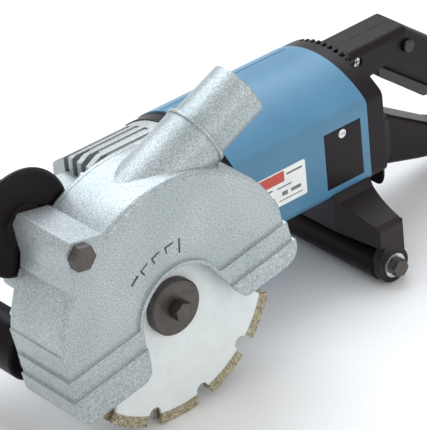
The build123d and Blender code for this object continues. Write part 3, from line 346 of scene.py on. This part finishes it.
def sintered_bronze():
    """Porous sintered bronze, oil-filled."""
    material, tree, surface, place = new_material("bronze_sintered", Metallic=1.0)
    pores = add(tree, "ShaderNodeTexNoise",
                {"Vector": place, "Scale": grain_scale(0.8), "Detail": 3.0})
    tone = add(tree, "ShaderNodeValToRGB", {"Fac": pores.outputs["Fac"]},
               stops=((0.35, "#A37A3E"), (0.65, "#CFA762"))).outputs["Color"]
    tree.links.new(tone, surface.inputs["Base Color"])
    gloss = add(tree, "ShaderNodeMapRange",
                {"Value": pores.outputs["Fac"], "To Min": 0.34, "To Max": 0.5}).outputs["Result"]
    tree.links.new(gloss, surface.inputs["Roughness"])
    relief(tree, surface, pores.outputs["Fac"], 0.05, 0.5)
    return material


def plain_nylon():
    """Dark grey nylon for the fan and switch."""
    material, tree, surface, place = new_material("nylon_moulded_grey", IOR=1.53)
    skin = add(tree, "ShaderNodeTexNoise",
               {"Vector": place, "Scale": grain_scale(1.2), "Detail": 3.0})
    tone = add(tree, "ShaderNodeValToRGB", {"Fac": skin.outputs["Fac"]},
               stops=((0.35, "#2C2C2E"), (0.65, "#3A3A3C"))).outputs["Color"]
    tree.links.new(tone, surface.inputs["Base Color"])
    gloss = add(tree, "ShaderNodeMapRange",
                {"Value": skin.outputs["Fac"], "To Min": 0.4, "To Max": 0.55}).outputs["Result"]
    tree.links.new(gloss, surface.inputs["Roughness"])
    relief(tree, surface, skin.outputs["Fac"], 0.04, 0.5)
    return material


def graphite():
    """Pressed graphite: soft black with a slight metal gleam."""
    material, tree, surface, place = new_material("graphite_pressed", Metallic=0.3)
    dust = add(tree, "ShaderNodeTexNoise",
               {"Vector": place, "Scale": grain_scale(0.7), "Detail": 3.0})
    tone = add(tree, "ShaderNodeValToRGB", {"Fac": dust.outputs["Fac"]},
               stops=((0.35, "#171718"), (0.65, "#2A2A2C"))).outputs["Color"]
    tree.links.new(tone, surface.inputs["Base Color"])
    gloss = add(tree, "ShaderNodeMapRange",
                {"Value": dust.outputs["Fac"], "To Min": 0.4, "To Max": 0.6}).outputs["Result"]
    tree.links.new(gloss, surface.inputs["Roughness"])
    return material


def printed_foil():
    """Aluminium rating foil with a white print, a red band and plain grey rules for its text."""
    material, tree, surface, place = new_material("foil_printed_white", IOR=1.5, Coat_Weight=0.3,
                                           Coat_Roughness=0.15)
    low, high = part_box("rating_plate")
    split = add(tree, "ShaderNodeSeparateXYZ", {"Vector": place})

    def share(axis, start, end):
        """1 inside a stretch of the plate given as shares of its length or height."""
        size = getattr(high, axis) - getattr(low, axis)
        value = split.outputs[axis.upper()]
        middle = getattr(low, axis) + size * (start + end) / 2
        return add(tree, "ShaderNodeMath", {0: value, 1: middle, 2: size * (end - start) / 2},
                   operation="COMPARE").outputs[0]

    def patch(x0, x1, z0, z1):
        return add(tree, "ShaderNodeMath", {0: share("x", x0, x1), 1: share("z", z0, z1)},
                   operation="MULTIPLY").outputs[0]

    def paint(below, mask, colour):
        layer = tree.nodes.new("ShaderNodeMix")
        layer.data_type = "RGBA"
        tree.links.new(mask, layer.inputs[0])
        tree.links.new(below, layer.inputs[6])
        layer.inputs[7].default_value = linear(colour)
        return layer.outputs[2]

    cloud = add(tree, "ShaderNodeTexNoise",
                {"Vector": place, "Scale": grain_scale(12.0), "Detail": 2.0})
    colour = add(tree, "ShaderNodeValToRGB", {"Fac": cloud.outputs["Fac"]},
                 stops=((0.35, "#E9EBEA"), (0.65, "#F4F4F2"))).outputs["Color"]
    colour = paint(colour, patch(0.02, 0.62, 0.66, 0.97), "#C4402E")
    rules = ((0.66, 0.94, 0.80, 0.86), (0.05, 0.40, 0.52, 0.57), (0.05, 0.34, 0.40, 0.44),
             (0.48, 0.74, 0.50, 0.54), (0.05, 0.42, 0.27, 0.31), (0.05, 0.30, 0.14, 0.18),
             (0.50, 0.92, 0.13, 0.16), (0.56, 0.66, 0.26, 0.38), (0.72, 0.90, 0.27, 0.37))
    for rule in rules:
        colour = paint(colour, patch(*rule), "#6C6E70")
    tree.links.new(colour, surface.inputs["Base Color"])
    surface.inputs["Roughness"].default_value = 0.35
    return material


def soft_rubber():
    """Moulded rubber for the cord's bush: matt black."""
    material, tree, surface, place = new_material("rubber_moulded_black", IOR=1.52)
    skin = add(tree, "ShaderNodeTexNoise",
               {"Vector": place, "Scale": grain_scale(0.9), "Detail": 3.0})
    tone = add(tree, "ShaderNodeValToRGB", {"Fac": skin.outputs["Fac"]},
               stops=((0.35, "#161616"), (0.65, "#222020"))).outputs["Color"]
    tree.links.new(tone, surface.inputs["Base Color"])
    gloss = add(tree, "ShaderNodeMapRange",
                {"Value": skin.outputs["Fac"], "To Min": 0.55, "To Max": 0.7}).outputs["Result"]
    tree.links.new(gloss, surface.inputs["Roughness"])
    relief(tree, surface, skin.outputs["Fac"], 0.04, 0.5)
    return material


finishes = {
    "hammertone": hammertone_paint(),
    "cast_alloy": cast_aluminium(),
    "blue_shell": blue_nylon(),
    "black_moulding": black_nylon(),
    "trigger_plastic": trigger_nylon(),
    "black_casting": black_paint(),
    "roller_rubber": roller_rubber(),
    "dark_steel": black_oxide_steel(),
    "bright_steel": zinc_steel(),
    "gear_steel": gear_steel(),
    "blade_steel": blade_coating(),
    "segment_matrix": diamond_matrix(),
    "laminations": steel_sheets(),
    "copper": enamelled_copper(),
    "bronze": sintered_bronze(),
    "fan_plastic": plain_nylon(),
    "carbon": graphite(),
    "plate_print": printed_foil(),
    "inlet_rubber": soft_rubber(),
}
for part in frame["record"]["subparts"]:
    mesh = frame["nodes"][part["node"]].data
    mesh.materials.clear()
    mesh.materials.append(finishes[part["material_slot"]])


# ---- Painted shade in the engraved arrow -----------------------------------------------
def groove_shade_material():
    """Painted shade laid into the engraved marks: a dark colour, dull and a little uneven, where their
    shade falls.
    """
    material, tree, surface, place = new_material("painted_groove_shade", Specular_IOR_Level=0.3)
    shade_mottle = add(tree, "ShaderNodeTexNoise",
                {"Vector": place, "Scale": grain_scale(1.5), "Detail": 3.0})
    # Painted shade: this dark colour stands in for the shade inside the engraved grooves.
    tone = add(tree, "ShaderNodeValToRGB", {"Fac": shade_mottle.outputs["Fac"]},
               stops=((0.35, "#2B2F31"), (0.65, "#43494B"))).outputs["Color"]
    tree.links.new(tone, surface.inputs["Base Color"])
    gloss = add(tree, "ShaderNodeMapRange",
                {"Value": shade_mottle.outputs["Fac"], "To Min": 0.5, "To Max": 0.7}).outputs["Result"]
    tree.links.new(gloss, surface.inputs["Roughness"])
    return material


def arrow_painted_shade():
    """The painted shade that lies in the rotation marks of the blade case: a dark sheet where the grooves'
    shade falls.

    Each mark is a rectangle with a half length and half width, at a radius and angle about the
    spindle: corner = turn(angle + tilt) of (radius + half * sign, offset + half * sign). The
    painted shade fills the groove's lower half, from its floor outward."""
    # paint is the thickness in mm of the dark painted-shade sheet in each groove.
    tilt, floor_depth, paint = math.radians(10.5), 0.8, 0.35
    low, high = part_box("outer_blade_core")
    middle = np.array([(low.x + high.x) / 2, (low.z + high.z) / 2])
    face = low.y - 12.0 * MM                      # the case's face stands 12 mm outside the blade
    hooks = (113.0, 101.0, 88.0)
    marks = np.array([(121.0, 54.0, 0.0, 0.95, 3.95), (75.0, 50.0, 0.0, 5.45, 0.75)]
                     + [(a, 51.15, 0.0, 2.1, 0.55) for a in hooks]
                     + [(a, 54.0, -3.2, 0.65, 3.75) for a in hooks])
    angle = np.radians(marks[:, 0:1]) + tilt
    signs = np.array([(-1, -1), (1, -1), (1, 1), (-1, 1)])
    u = marks[:, 1:2] + marks[:, 3:4] * signs[:, 0]
    v = marks[:, 2:3] + marks[:, 4:5] * signs[:, 1]
    x = middle[0] + MM * (u * np.cos(angle) - v * np.sin(angle))
    z = middle[1] + MM * (u * np.sin(angle) + v * np.cos(angle))
    levels = face + MM * np.array([floor_depth - 0.01, floor_depth - paint])
    points = np.stack([np.stack([x, np.full_like(x, y), z], -1) for y in levels], 1).reshape(-1, 3)
    slab = np.array([(3, 2, 1, 0), (4, 5, 6, 7), (0, 1, 5, 4), (1, 2, 6, 5), (2, 3, 7, 6), (3, 0, 4, 7)])
    faces = (8 * np.arange(len(marks))[:, None, None] + slab).reshape(-1, 4)
    mesh = bpy.data.meshes.new("arrow_painted_shade")
    mesh.from_pydata(points.tolist(), [], faces.tolist())
    # The slabs carry painted shade: dark colour put where the grooves' shade falls.
    mesh.materials.append(groove_shade_material())
    piece = bpy.data.objects.new("arrow_painted_shade", mesh)
    bpy.context.scene.collection.objects.link(piece)
    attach(piece, "blade_case")


arrow_painted_shade()

# ---- Floor, light and camera ---------------------------------------------------------
def floor():
    """A plain pale floor under the object."""
    half = 6.0
    mesh = bpy.data.meshes.new("floor")
    corners = [(-half, -half, 0), (half, -half, 0), (half, half, 0), (-half, half, 0)]
    mesh.from_pydata(corners, [], [(0, 1, 2, 3)])
    sheet = bpy.data.objects.new("floor", mesh)
    bpy.context.scene.collection.objects.link(sheet)
    material, tree, surface, place = new_material("paper_white", Roughness=0.9)
    cloud = add(tree, "ShaderNodeTexNoise",
                {"Vector": place, "Scale": grain_scale(300.0), "Detail": 2.0})
    tone = add(tree, "ShaderNodeValToRGB", {"Fac": cloud.outputs["Fac"]},
               stops=((0.35, "#F2F2F2"), (0.65, "#F6F6F6"))).outputs["Color"]
    tree.links.new(tone, surface.inputs["Base Color"])
    mesh.materials.append(material)


def soft_light(name, place, target, size, power, colour="#FFFFFF"):
    """A square soft box that faces its target."""
    data = bpy.data.lights.new(name, "AREA")
    data.shape, data.size, data.energy = "SQUARE", size, power
    data.color = linear(colour)[:3]
    lamp = bpy.data.objects.new(name, data)
    lamp.location = place
    lamp.rotation_mode = "QUATERNION"
    lamp.rotation_quaternion = (Vector(target) - Vector(place)).to_track_quat("-Z", "Y")
    bpy.context.scene.collection.objects.link(lamp)


def room_light(colour, strength):
    """Even light from all round."""
    world = bpy.data.worlds.new("room")
    world.use_nodes = True
    back = world.node_tree.nodes["Background"]
    back.inputs["Color"].default_value = linear(colour)
    back.inputs["Strength"].default_value = strength
    bpy.context.scene.world = world


floor()
room_light("#FFFFFF", 0.79)
soft_light("overhead", (0.35, 0.9, 1.7), (0, 0, 0.1), 1.6, 30.0, "#EEF5FF")
soft_light("side_fill", (0.2, -1.9, 0.9), (0, 0, 0.1), 1.2, 5.0)

azimuth, elevation, roll = math.radians(-37.45), math.radians(30.94), math.radians(5.76)
distance, lens = 2.5, 310.2
back = Vector((math.sin(azimuth) * math.cos(elevation), -math.cos(azimuth) * math.cos(elevation),
               math.sin(elevation)))
right = Vector((math.cos(azimuth), math.sin(azimuth), 0.0))
up = back.cross(right)
low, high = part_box("outer_blade_core")
hub = Vector(((low.x + high.x) / 2, low.y, (low.z + high.z) / 2))
aim = hub + right * 0.0351 + up * 0.0570
data = bpy.data.cameras.new("camera")
data.lens, data.sensor_width, data.clip_start, data.clip_end = lens, 36.0, 0.1, 50.0
camera = bpy.data.objects.new("camera", data)
right_rolled = right * math.cos(roll) - up * math.sin(roll)
up_rolled = back.cross(right_rolled)
turn = Matrix((right_rolled, up_rolled, back)).transposed()
camera.matrix_world = Matrix.Translation(aim + back * distance) @ turn.to_4x4()
bpy.context.scene.collection.objects.link(camera)
bpy.context.scene.camera = camera
bpy.context.scene.view_settings.view_transform = "Standard"
